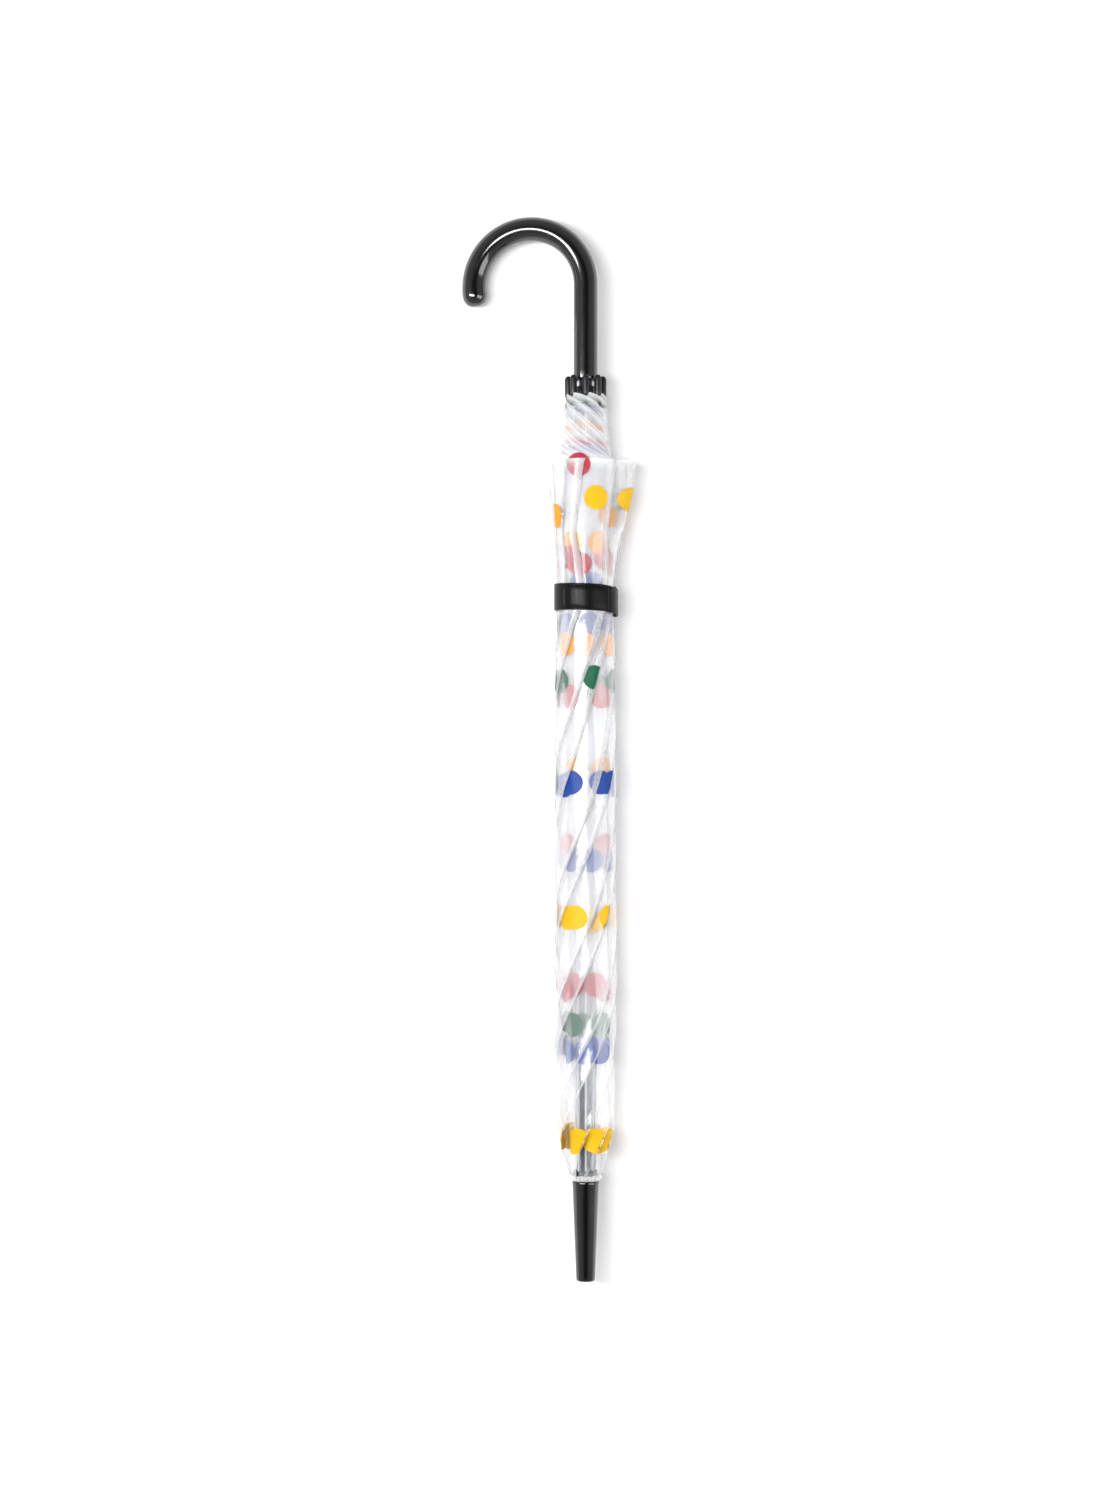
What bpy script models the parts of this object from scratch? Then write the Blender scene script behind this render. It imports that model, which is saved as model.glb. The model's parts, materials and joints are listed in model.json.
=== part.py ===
"""Clear dome umbrella, closed and strapped, lying on its side.

The shaft runs along +Y towards the handle. A place is given as (r, t): r is the distance from the shaft's
axis and t is the station along it, 0 at the ferrule's top edge. Azimuth is measured about the shaft, from +X
towards +Z. A moving piece has its origin on its joint's axis.
"""

import math

import bmesh
import bpy
from mathutils import Matrix, Vector

MM = 0.001
GAP = 0.3 * MM

# Shaft
SHAFT_RADIUS = 5.0 * MM
SHAFT_WALL = 0.8 * MM

# Ferrule
FERRULE_LENGTH = 77.5 * MM
FERRULE_TOP_WALL = 5.4 * MM
FERRULE_TIP_WALL = 2.3 * MM
FERRULE_TOP_RADIUS = SHAFT_RADIUS + FERRULE_TOP_WALL
FERRULE_TIP_RADIUS = SHAFT_RADIUS + FERRULE_TIP_WALL
FERRULE_BORE_DEPTH = 58 * MM

# Handle
HANDLE_WALL = 4.25 * MM
HANDLE_RADIUS = SHAFT_RADIUS + HANDLE_WALL
HANDLE_STRAIGHT = 75 * MM
HOOK_RADIUS = 43.8 * MM
HOOK_SWEEP = math.radians(188)
SHAFT_IN_HANDLE = 40 * MM
HANDLE_BORE_DEPTH = SHAFT_IN_HANDLE + 5 * MM
HANDLE_CLEARANCE = 15 * MM

# Ribs
RIB_COUNT = 8
PIVOT_STATION = 5 * MM
PIVOT_RADIUS = SHAFT_RADIUS + 2.0 * MM
SEGMENT_LENGTH = 297.5 * MM
ELBOW_RADIUS = PIVOT_RADIUS + 4.0 * MM
TIP_RADIUS = ELBOW_RADIUS + 2.2 * MM
RIB_HEIGHT = 2.0 * MM
RIB_THICKNESS = 1.6 * MM
WIRE_RADIUS = 0.5 * MM
EYE_WALL = 0.7 * MM
CHEEK_THICKNESS = 0.6 * MM
CHEEK_REACH = 8.0 * MM
BLOCK_LENGTH = 4.0 * MM
BLOCK_SETBACK = 3.0 * MM
CAP_LENGTH = 24 * MM
CAP_RADIUS = 2.6 * MM
CAP_COLLAR_RADIUS = 2.7 * MM
ELBOW_STATION = PIVOT_STATION + SEGMENT_LENGTH
TIP_STATION = ELBOW_STATION + SEGMENT_LENGTH
HANDLE_FOOT = TIP_STATION + HANDLE_CLEARANCE
SHAFT_END = HANDLE_FOOT + SHAFT_IN_HANDLE

# Crown and runner, which hold the eyes of the ribs and of the stretchers
CROWN_RADIUS = PIVOT_RADIUS + 2.4 * MM
CROWN_FLOOR = 3.0 * MM
HUB_TOP = 2.3 * MM
SLOT_WIDTH = RIB_THICKNESS + 3 * GAP
RUNNER_BACKSET = 15 * MM
RUNNER_STATION = TIP_STATION - RUNNER_BACKSET
RUNNER_FLOOR = 4.0 * MM
RUNNER_SLEEVE_LENGTH = 26 * MM
STRETCHER_DROP = 2.8 * MM
STRETCHER_SETBACK = 5.5 * MM
STRETCHER_RADIUS = SHAFT_RADIUS + 3.8 * MM
RUNNER_RADIUS = STRETCHER_RADIUS + 2.2 * MM
STRETCHER_HEIGHT = 1.6 * MM

# Spring catches
CATCH_AZIMUTH = math.radians(112.5)
CATCH_LENGTH = 30 * MM
CATCH_WIDTH = 1.8 * MM
CATCH_THICKNESS = 0.8 * MM
CATCH_PROUD = 1.8 * MM
CATCH_NOSE = 7 * MM
CLOSED_CATCH_STATION = RUNNER_STATION - 4 * MM
OPEN_CATCH_STATION = ELBOW_STATION - 63.5 * MM

# Closed canopy
BUNDLE_DEPTH = 10.8 * MM
NECK_DEPTH = 5.8 * MM
BUNDLE_RADIUS = TIP_RADIUS + BUNDLE_DEPTH
WAIST_RADIUS = BUNDLE_RADIUS - 1.7 * MM
NECK_RADIUS = TIP_RADIUS + NECK_DEPTH
NECK_LENGTH = 40 * MM
NECK_END = TIP_STATION + 6 * MM
FILM_THICKNESS = 3.0 * MM
GORE_TWIST = math.radians(60)
PLEAT_WIDTH = 6.0 * MM
PLEAT_THICKNESS = 0.8 * MM
PLEAT_RADIUS = WAIST_RADIUS - FILM_THICKNESS - 2.1 * MM
PLEAT_START = 110 * MM
PLEAT_BREAK = (ELBOW_STATION - 32.5 * MM, ELBOW_STATION + 27.5 * MM)
PLEAT_END = NECK_END - 81 * MM

# Strap
STRAP_STATION = TIP_STATION - 152 * MM
STRAP_WIDTH = 20.8 * MM
STRAP_THICKNESS = 1.0 * MM
STRAP_START = math.radians(-6)
STRAP_BAND_SWEEP = math.radians(222)
STRAP_FLAP_SWEEP = math.radians(88)
STRAP_TAIL_SWEEP = math.radians(82)
STRAP_SPIRAL = STRAP_THICKNESS + 0.5 * MM
SNAP_RADIUS = 4.5 * MM
SNAP_HEIGHT = 1.2 * MM
SNAP_INSET = math.radians(14)
SNAP_TOP_SHARE = 0.75

# How the umbrella lies: the bundle and the hook's end both touch the floor
AXIS_HEIGHT = BUNDLE_RADIUS + 0.5 * MM
HOOK_ROLL = math.asin((AXIS_HEIGHT - HANDLE_RADIUS) / (2 * HOOK_RADIUS))
HOOK_LEFT = 2 * HOOK_RADIUS * math.cos(HOOK_ROLL) + HANDLE_RADIUS
SNAP_SWEPT = STRAP_BAND_SWEEP + STRAP_FLAP_SWEEP + STRAP_TAIL_SWEEP - SNAP_INSET
SNAP_AZIMUTH = STRAP_START - SNAP_SWEPT
SNAP_SEAT = WAIST_RADIUS + STRAP_THICKNESS + 2 * GAP + STRAP_SPIRAL * SNAP_SWEPT / (2 * math.pi)
SNAP_RIGHT = (SNAP_SEAT + SNAP_HEIGHT) * math.cos(SNAP_AZIMUTH)
SNAP_RIGHT += SNAP_RADIUS * SNAP_TOP_SHARE * abs(math.sin(SNAP_AZIMUTH))
HOOK_TOP = HANDLE_FOOT + HANDLE_STRAIGHT + HOOK_RADIUS + HANDLE_RADIUS
AXIS_X = (HOOK_LEFT - SNAP_RIGHT) / 2
AXIS_Y = -(HOOK_TOP - FERRULE_LENGTH) / 2
AXIS = Matrix.Translation((AXIS_X, AXIS_Y, AXIS_HEIGHT))


def clear_scene():
    for thing in list(bpy.data.objects):
        bpy.data.objects.remove(thing)


def material(name, colour, roughness, metallic=0.0, transmission=0.0):
    made = bpy.data.materials.new(name)
    made.use_nodes = True
    shader = made.node_tree.nodes["Principled BSDF"]
    shader.inputs["Base Color"].default_value = (*colour, 1)
    shader.inputs["Roughness"].default_value = roughness
    shader.inputs["Metallic"].default_value = metallic
    shader.inputs["Transmission Weight"].default_value = transmission
    return made


def mesh_from(name, points, faces):
    mesh = bpy.data.meshes.new(name)
    mesh.from_pydata([tuple(p) for p in points], [], faces)
    shape = bmesh.new()
    shape.from_mesh(mesh)
    bmesh.ops.recalc_face_normals(shape, faces=shape.faces)
    shape.to_mesh(mesh)
    shape.free()
    return mesh


def loft(name, rings, cyclic=False):
    """A closed skin over rings of equal point count. Open lofts get flat ends, cyclic ones close."""
    size = len(rings[0])
    points = [p for ring in rings for p in ring]
    faces = []
    for i in range(len(rings) if cyclic else len(rings) - 1):
        a, b = i * size, (i + 1) % len(rings) * size
        faces += [(a + j, a + (j + 1) % size, b + (j + 1) % size, b + j) for j in range(size)]
    if not cyclic:
        faces += [tuple(range(size)), tuple(range(len(points) - size, len(points)))]
    return mesh_from(name, points, faces)


def turned(name, profile, sides):
    """A solid of revolution about the shaft's axis. profile is a closed loop of (r, t) points."""
    rings = []
    for k in range(sides):
        a = 2 * math.pi * k / sides
        rings.append([Vector((r * math.cos(a), t, r * math.sin(a))) for r, t in profile])
    return loft(name, rings, cyclic=True)


def turned_solid(name, profile, sides):
    """A solid of revolution that is filled up to the axis; profile is an open line of (r, t)."""
    rings = []
    for r, t in profile:
        rings.append(
            [
                Vector((r * math.cos(2 * math.pi * k / sides), t, r * math.sin(2 * math.pi * k / sides)))
                for k in range(sides)
            ]
        )
    return loft(name, rings)


def box(name, low, high):
    corners = [(x, y, z) for x in (low[0], high[0]) for y in (low[1], high[1]) for z in (low[2], high[2])]
    faces = [(0, 1, 3, 2), (4, 6, 7, 5), (0, 4, 5, 1), (2, 3, 7, 6), (0, 2, 6, 4), (1, 5, 7, 3)]
    return mesh_from(name, corners, faces)


def pin(name, centre, radius, half_length, sides=8):
    """A cylinder along local Z, through centre = (x, y)."""
    rings = []
    for z in (-half_length, half_length):
        rings.append(
            [
                Vector(
                    (
                        centre[0] + radius * math.cos(2 * math.pi * k / sides),
                        centre[1] + radius * math.sin(2 * math.pi * k / sides),
                        z,
                    )
                )
                for k in range(sides)
            ]
        )
    return loft(name, rings)


def combined(name, base, add=(), cut=()):
    """base with the meshes of add joined to it and those of cut taken out of it."""
    target = bpy.data.objects.new(name, base)
    bpy.context.scene.collection.objects.link(target)
    helpers = []
    for operation, meshes in (("UNION", add), ("DIFFERENCE", cut)):
        for mesh in meshes:
            helper = bpy.data.objects.new(f"{name}_cutter", mesh)
            bpy.context.scene.collection.objects.link(helper)
            step = target.modifiers.new(operation, "BOOLEAN")
            step.operation = operation
            step.solver = "EXACT"
            step.object = helper
            helpers.append(helper)
    graph = bpy.context.evaluated_depsgraph_get()
    made = bpy.data.meshes.new_from_object(target.evaluated_get(graph))
    for thing in [target, *helpers]:
        bpy.data.objects.remove(thing)
    return made


def turn(azimuth):
    """Turns local +X to that azimuth about the shaft; local +Y stays along the shaft."""
    return Matrix.Rotation(-azimuth, 4, "Y")


def joint_empty(name, place):
    empty = bpy.data.objects.new(name, None)
    empty.empty_display_size = 0.01
    bpy.context.scene.collection.objects.link(empty)
    empty.matrix_world = AXIS @ place
    return empty


def add_piece(name, mesh, finish, place=None, parent=None):
    """Puts a piece at place, a matrix in the umbrella's own axes, or at its joint's empty."""
    piece = bpy.data.objects.new(name, mesh)
    bpy.context.scene.collection.objects.link(piece)
    if not mesh.materials:
        mesh.materials.append(finish)
        mesh.shade_smooth()
        mesh.set_sharp_from_angle(angle=math.radians(35))
    if parent is None:
        piece.matrix_world = AXIS @ (place or Matrix.Identity(4))
    else:
        piece.parent = parent
    return piece


def along(station_from, radius_from, station_to, radius_to):
    """Angle by which a line from one (r, t) to another leans out from the shaft's direction."""
    return math.atan2(radius_to - radius_from, station_to - station_from)


# ---------------------------------------------------------------- where the linkage's points lie when closed
PIVOT = (PIVOT_RADIUS, PIVOT_STATION)
INNER_LEAN = math.asin((ELBOW_RADIUS - PIVOT_RADIUS) / SEGMENT_LENGTH)
ELBOW = (ELBOW_RADIUS, PIVOT_STATION + SEGMENT_LENGTH * math.cos(INNER_LEAN))
OUTER_LEAN = math.asin((TIP_RADIUS - ELBOW_RADIUS) / SEGMENT_LENGTH)
CLIP = (ELBOW[0] - STRETCHER_DROP, ELBOW[1] - STRETCHER_SETBACK)
STRETCHER_LEAN = along(CLIP[1], CLIP[0], RUNNER_STATION, STRETCHER_RADIUS)
STRETCHER_LENGTH = math.hypot(RUNNER_STATION - CLIP[1], STRETCHER_RADIUS - CLIP[0])
EYE_RADIUS = WIRE_RADIUS + GAP + EYE_WALL


def make_shaft(steel):
    inner = SHAFT_RADIUS - SHAFT_WALL
    start = -FERRULE_BORE_DEPTH + GAP
    loop = [(SHAFT_RADIUS, start), (SHAFT_RADIUS, SHAFT_END), (inner, SHAFT_END), (inner, start)]
    tube = turned("shaft_tube", loop, 20)
    slots = []
    for station, way in ((CLOSED_CATCH_STATION, 1), (OPEN_CATCH_STATION, -1)):
        half = CATCH_WIDTH / 2 + GAP
        ends = sorted((station - way * (CATCH_NOSE + 3 * GAP), station + way * CATCH_NOSE * 0.3))
        slot = box("slot", (0.5 * SHAFT_RADIUS, ends[0], -half), (SHAFT_RADIUS * 1.5, ends[1], half))
        slot.transform(turn(CATCH_AZIMUTH))
        slots.append(slot)
    add_piece("shaft_tube", combined("shaft_tube", tube, cut=slots), steel)


def make_ferrule(black):
    tip = -FERRULE_LENGTH
    edge = 0.8 * MM
    bore = SHAFT_RADIUS + GAP
    outline = [
        (FERRULE_TIP_RADIUS - edge, tip),
        (FERRULE_TIP_RADIUS, tip + edge),
        (FERRULE_TOP_RADIUS - edge / 2, -edge),
        (FERRULE_TOP_RADIUS - edge, -GAP),
    ]
    body = turned_solid("ferrule", outline, 28)
    hole = turned_solid("hole", [(bore, -FERRULE_BORE_DEPTH), (bore, 1 * MM)], 20)
    add_piece("ferrule", combined("ferrule", body, cut=[hole]), black)


def slotted_hub(name, outer, bore, floor, top, wire_radius, sleeve=()):
    """A hub with a slot for each rib or stretcher and a groove, open towards +Y, for their wire.
    A sleeve is the (r, t) points of a tube that goes on below the floor. The slots then cut through
    the floor, so that the stretchers can lie along the sleeve."""
    half_groove = WIRE_RADIUS + GAP
    loop = [*(sleeve or [(bore, -floor)]), (outer, -floor), (outer, top)]
    loop += [(wire_radius + half_groove, top), (wire_radius + half_groove, -half_groove)]
    loop += [(wire_radius - half_groove, -half_groove), (wire_radius - half_groove, top)]
    loop += [(bore, top)]
    hub = turned(name, loop, 24)
    slot_floor = -floor * 1.5 if sleeve else -EYE_RADIUS - GAP
    slots = []
    for i in range(RIB_COUNT):
        low = (wire_radius - EYE_RADIUS - GAP, slot_floor, -SLOT_WIDTH / 2)
        slot = box("slot", low, (outer * 1.5, top * 2, SLOT_WIDTH / 2))
        slot.transform(turn(2 * math.pi * i / RIB_COUNT))
        slots.append(slot)
    return combined(name, hub, cut=slots)


def wire_ring(name, radius, sides=16, wire_sides=6):
    loop = []
    for k in range(wire_sides):
        a = 2 * math.pi * k / wire_sides
        loop.append((radius + WIRE_RADIUS * math.cos(a), WIRE_RADIUS * math.sin(a)))
    return turned(name, loop, sides)


def make_crown(black, steel):
    place = Matrix.Translation((0, PIVOT_STATION, 0))
    floor = CROWN_FLOOR + EYE_RADIUS
    crown = slotted_hub("crown", CROWN_RADIUS, SHAFT_RADIUS + GAP, floor, HUB_TOP, PIVOT_RADIUS)
    add_piece("crown", crown, black, place)
    add_piece("rib_wire", wire_ring("rib_wire", PIVOT_RADIUS), steel, place)


def make_runner(black, steel):
    bore, floor = SHAFT_RADIUS + GAP, RUNNER_FLOOR
    sleeve_radius = STRETCHER_RADIUS - EYE_RADIUS - 1.5 * GAP
    empty = joint_empty("runner_slide", Matrix.Translation((0, RUNNER_STATION, 0)))
    sleeve = [(bore, -RUNNER_SLEEVE_LENGTH), (sleeve_radius, -RUNNER_SLEEVE_LENGTH)]
    sleeve += [(sleeve_radius, -floor)]
    hub = slotted_hub("runner", RUNNER_RADIUS, bore, floor, HUB_TOP, STRETCHER_RADIUS, sleeve)
    hub.transform(Matrix.Rotation(math.pi, 4, "X"))
    half = CATCH_WIDTH / 2 + GAP
    reach = SHAFT_RADIUS + CATCH_PROUD + GAP
    keyway = box("keyway", (0, -10 * MM, -half), (reach, RUNNER_SLEEVE_LENGTH * 1.1, half))
    keyway.transform(turn(CATCH_AZIMUTH))
    add_piece("runner", combined("runner", hub, cut=[keyway]), black, parent=empty)
    add_piece("stretcher_wire", wire_ring("stretcher_wire", STRETCHER_RADIUS), steel, parent=empty)


def make_catch(name, station, way, steel):
    """A leaf spring inside the tube, whose nose stands out through the slot; it bends in about its root.
    Its steep face looks towards way, 1 for the handle and -1 for the ferrule."""
    root = station - way * CATCH_LENGTH
    seat = SHAFT_RADIUS - SHAFT_WALL - GAP - CATCH_THICKNESS
    half = CATCH_WIDTH / 2
    empty = joint_empty(f"{name}_press", turn(CATCH_AZIMUTH) @ Matrix.Translation((seat, root, 0)))
    proud = SHAFT_RADIUS + CATCH_PROUD - seat
    outline = [
        (0, 0),
        (CATCH_THICKNESS * 0.4, -CATCH_THICKNESS),
        (CATCH_THICKNESS, 0),
        (CATCH_THICKNESS, CATCH_LENGTH - CATCH_NOSE),
        (proud, CATCH_LENGTH - GAP),
        (0, CATCH_LENGTH),
    ]
    rings = [[Vector((x, way * y, z)) for x, y in outline] for z in (-half, half)]
    add_piece(name, loft(name, rings), steel, parent=empty)


def make_handle(black):
    """A tube bent into a crook: a straight grip, an arc of HOOK_SWEEP and a rounded end."""
    sides = 18
    route = []
    foot = HANDLE_FOOT + GAP
    bend = HANDLE_FOOT + HANDLE_STRAIGHT
    for share in (0, 0.02, 0.5):
        route.append((0.0, foot + share * HANDLE_STRAIGHT, 0.0, 1.0 if share else 0.9))
    steps = 22
    for k in range(steps + 1):
        a = HOOK_SWEEP * k / steps
        route.append((HOOK_RADIUS * (math.cos(a) - 1), bend + HOOK_RADIUS * math.sin(a), a, 1.0))
    last_x, last_y, last_a, _ = route[-1]
    for k in (1, 2, 3, 4):
        b = math.radians(20 * k)
        ahead = HANDLE_RADIUS * math.sin(b)
        x = last_x - ahead * math.sin(last_a)
        y = last_y + ahead * math.cos(last_a)
        route.append((x, y, last_a, math.cos(b)))
    rings = []
    for x, y, a, share in route:
        ring = []
        for k in range(sides):
            b = 2 * math.pi * k / sides
            out = HANDLE_RADIUS * share * math.cos(b)
            up = HANDLE_RADIUS * share * math.sin(b)
            ring.append(Vector((x + out * math.cos(a), y + out * math.sin(a), up)))
        rings.append(ring)
    body = loft("handle", rings)
    bore = SHAFT_RADIUS + GAP
    hole = turned_solid("hole", [(bore, HANDLE_FOOT - 1 * MM), (bore, HANDLE_FOOT + HANDLE_BORE_DEPTH)], 20)
    add_piece("handle", combined("handle", body, cut=[hole]), black, Matrix.Rotation(-HOOK_ROLL, 4, "Y"))


def bar(name, start, end, height, thickness):
    return box(name, (-height / 2, start, -thickness / 2), (height / 2, end, thickness / 2))


def inner_rib_mesh():
    """Local Y runs along the rib from its eye. Two cheeks at its end hold the elbow's and clip's pins."""
    end = SEGMENT_LENGTH
    eye = pin("eye", (0, 0), EYE_RADIUS, RIB_THICKNESS / 2)
    gap_half = RIB_THICKNESS / 2 + GAP
    outer_half = gap_half + CHEEK_THICKNESS
    rod = bar("rod", EYE_RADIUS * 0.8, end - CHEEK_REACH, RIB_HEIGHT, RIB_THICKNESS)
    low = -STRETCHER_DROP - EYE_RADIUS
    half = RIB_HEIGHT / 2
    block_start, block_end = end - CHEEK_REACH - BLOCK_LENGTH / 2, end - BLOCK_SETBACK
    block = box("block", (-half, block_start, -outer_half), (half, block_end, outer_half))
    cheeks = []
    for side in (-1, 1):
        z = sorted((side * gap_half, side * outer_half))
        corner = (low, end - CHEEK_REACH, z[0])
        cheeks.append(box("cheek", corner, (EYE_RADIUS, end + EYE_RADIUS, z[1])))
    pins = [
        pin("elbow_pin", (0, end), WIRE_RADIUS, outer_half - 0.1 * MM),
        pin("clip_pin", (-STRETCHER_DROP, end - STRETCHER_SETBACK), WIRE_RADIUS, outer_half - 0.1 * MM),
    ]
    hole = pin("hole", (0, 0), WIRE_RADIUS + GAP, RIB_THICKNESS)
    return combined("rib_inner", rod, add=[eye, block, *cheeks, *pins], cut=[hole])


def eyed_bar_mesh(name, length, height):
    """A flat bar with an eye at its origin, which turns on a pin or wire."""
    eye = pin("eye", (0, 0), EYE_RADIUS, RIB_THICKNESS / 2)
    rod = bar("rod", EYE_RADIUS * 0.8, length, height, RIB_THICKNESS)
    hole = pin("hole", (0, 0), WIRE_RADIUS + GAP, RIB_THICKNESS)
    return combined(name, rod, add=[eye], cut=[hole])


def cap_mesh():
    """A tip cap: a socket on the rib's end with a collar at its mouth and a round nose."""
    bore = math.hypot(RIB_HEIGHT, RIB_THICKNESS) / 2 + GAP
    outline = [
        (CAP_COLLAR_RADIUS, 0),
        (CAP_COLLAR_RADIUS, 2.5 * MM),
        (CAP_RADIUS, 4 * MM),
        (CAP_RADIUS, CAP_LENGTH - 2 * MM),
        (CAP_RADIUS * 0.5, CAP_LENGTH),
    ]
    body = turned_solid("tip_cap", outline, 10)
    hole = turned_solid("hole", [(bore, -1 * MM), (bore, 6 * MM)], 8)
    return combined("tip_cap", body, cut=[hole])


def make_ribs(steel, black):
    inner, cap = inner_rib_mesh(), cap_mesh()
    outer = eyed_bar_mesh("rib_outer", SEGMENT_LENGTH, RIB_HEIGHT * 0.8)
    stretcher = eyed_bar_mesh("stretcher", STRETCHER_LENGTH - WIRE_RADIUS - 1.5 * GAP, STRETCHER_HEIGHT)
    for i in range(RIB_COUNT):
        number = i + 1
        azimuth = turn(2 * math.pi * i / RIB_COUNT)
        pivots = (
            ("rib_inner", inner, steel, PIVOT, INNER_LEAN),
            ("rib_outer", outer, steel, ELBOW, OUTER_LEAN),
            ("stretcher", stretcher, steel, CLIP, STRETCHER_LEAN),
        )
        empties = {}
        for name, mesh, finish, (radius, station), lean in pivots:
            place = azimuth @ Matrix.Translation((radius, station, 0)) @ Matrix.Rotation(-lean, 4, "Z")
            empties[name] = joint_empty(f"{name}_{number}_hinge", place)
            add_piece(f"{name}_{number}", mesh, finish, parent=empties[name])
        tip = add_piece(f"tip_cap_{number}", cap, black, parent=empties["rib_outer"])
        tip.location = (0, SEGMENT_LENGTH - 5 * MM, 0)


def bundle_knots():
    """Stations and outer radii of the folded film: a taper, a waist at the strap, then the neck."""
    return [
        (0.3 * MM, CROWN_RADIUS + 1.0 * MM),
        (15 * MM, BUNDLE_RADIUS * 0.65),
        (32 * MM, BUNDLE_RADIUS * 0.84),
        (70 * MM, BUNDLE_RADIUS * 0.93),
        (110 * MM, BUNDLE_RADIUS + 0.5 * MM),
        (STRAP_STATION - 3 * STRAP_WIDTH, BUNDLE_RADIUS),
        (STRAP_STATION - STRAP_WIDTH, WAIST_RADIUS + 0.4 * MM),
        (STRAP_STATION - STRAP_WIDTH * 0.5, WAIST_RADIUS),
        (STRAP_STATION + STRAP_WIDTH * 0.5, WAIST_RADIUS),
        (STRAP_STATION + STRAP_WIDTH * 1.2, WAIST_RADIUS + 0.6 * MM),
        (STRAP_STATION + STRAP_WIDTH * 4, BUNDLE_RADIUS + 0.5 * MM),
        (NECK_END - NECK_LENGTH, NECK_RADIUS + 1 * MM),
        (NECK_END, NECK_RADIUS),
    ]


def bundle_radius(station):
    knots = bundle_knots()
    for (t0, r0), (t1, r1) in zip(knots, knots[1:]):
        if station <= t1:
            share = max(0.0, (station - t0) / (t1 - t0))
            return r0 + (r1 - r0) * share
    return knots[-1][1]


def make_gores(film):
    """Eight folded gores, wrapped side by side round the ribs."""
    places = [place for place, _ in bundle_knots()]
    stations = sorted(places + [(places[0] + places[1]) / 2, (places[4] + places[5]) / 2])
    sector = 2 * math.pi / RIB_COUNT
    across = 3
    for i in range(RIB_COUNT):
        rings = []
        for station in stations:
            outer = bundle_radius(station)
            inner = max(CROWN_RADIUS + GAP, outer - FILM_THICKNESS)
            trim = GAP / outer
            start = sector * (i + 0.5) + trim + GORE_TWIST * station / NECK_END
            ring = []
            for k in range(across + 1):
                a = start + (sector - 2 * trim) * k / across
                ring.append(Vector((outer * math.cos(a), station, outer * math.sin(a))))
            for k in range(across, -1, -1):
                a = start + (sector - 2 * trim) * k / across
                ring.append(Vector((inner * math.cos(a), station, inner * math.sin(a))))
            rings.append(ring)
        add_piece(f"canopy_gore_{i + 1}", loft("gore", rings), film)


def make_pleats(film):
    """Folds of film inside the bundle, which lead the canopy out as it opens."""
    spans = (
        ("canopy_pleat_1", PLEAT_START, PLEAT_BREAK[0], 1),
        ("canopy_pleat_2", PLEAT_START, PLEAT_BREAK[0], 3),
        ("canopy_pleat_3", PLEAT_BREAK[1], PLEAT_END, 5),
        ("canopy_pleat_4", PLEAT_BREAK[1], PLEAT_END, 7),
    )
    for name, start, end, place in spans:
        low = (PLEAT_RADIUS, start, -PLEAT_WIDTH / 2)
        strip = box(name, low, (PLEAT_RADIUS + PLEAT_THICKNESS, end, PLEAT_WIDTH / 2))
        add_piece(name, strip, film, turn(math.pi / RIB_COUNT * place))


def strap_radius(swept):
    """Inner radius of the strap, which winds outwards so that its end lies over its start."""
    return WAIST_RADIUS + GAP + STRAP_SPIRAL * swept / (2 * math.pi)


def strap_length_mesh(name, start, sweep, steps, round_end=False):
    """A stretch of strap from start to start + sweep, both measured along the winding, clockwise."""
    rings = []
    for k in range(steps + 1):
        swept = start + sweep * k / steps
        a = STRAP_START - swept
        inner = strap_radius(swept)
        outer = inner + STRAP_THICKNESS
        half = STRAP_WIDTH / 2
        if round_end and k == steps:
            half *= 0.8
        ring = []
        for r, y in ((inner, -half), (outer, -half), (outer, half), (inner, half)):
            ring.append(Vector((r * math.cos(a), STRAP_STATION + y, r * math.sin(a))))
        rings.append(ring)
    return loft(name, rings)


def strap_joint(name, swept):
    """The empty on the strap's bend line, and the matrix that takes a mesh into its axes."""
    a = STRAP_START - swept
    r = strap_radius(swept) + STRAP_THICKNESS / 2
    place = Matrix.Translation((r * math.cos(a), STRAP_STATION, r * math.sin(a)))
    return joint_empty(name, place), place.inverted()


def make_strap(black, steel):
    slit = GAP / WAIST_RADIUS
    band = strap_length_mesh("strap_band", 0, STRAP_BAND_SWEEP - slit, 22)
    add_piece("strap_band", band, black)
    flap_empty, to_flap = strap_joint("strap_peel", STRAP_BAND_SWEEP)
    flap = strap_length_mesh("strap_flap", STRAP_BAND_SWEEP, STRAP_FLAP_SWEEP - slit, 9)
    flap.transform(to_flap)
    add_piece("strap_flap", flap, black, parent=flap_empty)
    swept = STRAP_BAND_SWEEP + STRAP_FLAP_SWEEP
    tail_empty, to_tail = strap_joint("strap_tail_peel", swept)
    tail = strap_length_mesh("strap_tail", swept, STRAP_TAIL_SWEEP, 9, round_end=True)
    tail.transform(to_tail)
    add_piece("strap_tail", tail, black, parent=tail_empty)
    snap = turned_solid("snap_cap", [(SNAP_RADIUS, 0), (SNAP_RADIUS * SNAP_TOP_SHARE, SNAP_HEIGHT)], 16)
    snap.transform(Matrix.Translation((SNAP_SEAT, STRAP_STATION, 0)) @ Matrix.Rotation(-math.pi / 2, 4, "Z"))
    snap.transform(to_tail @ turn(SNAP_AZIMUTH))
    add_piece("snap_cap", snap, steel, parent=tail_empty)


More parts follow.
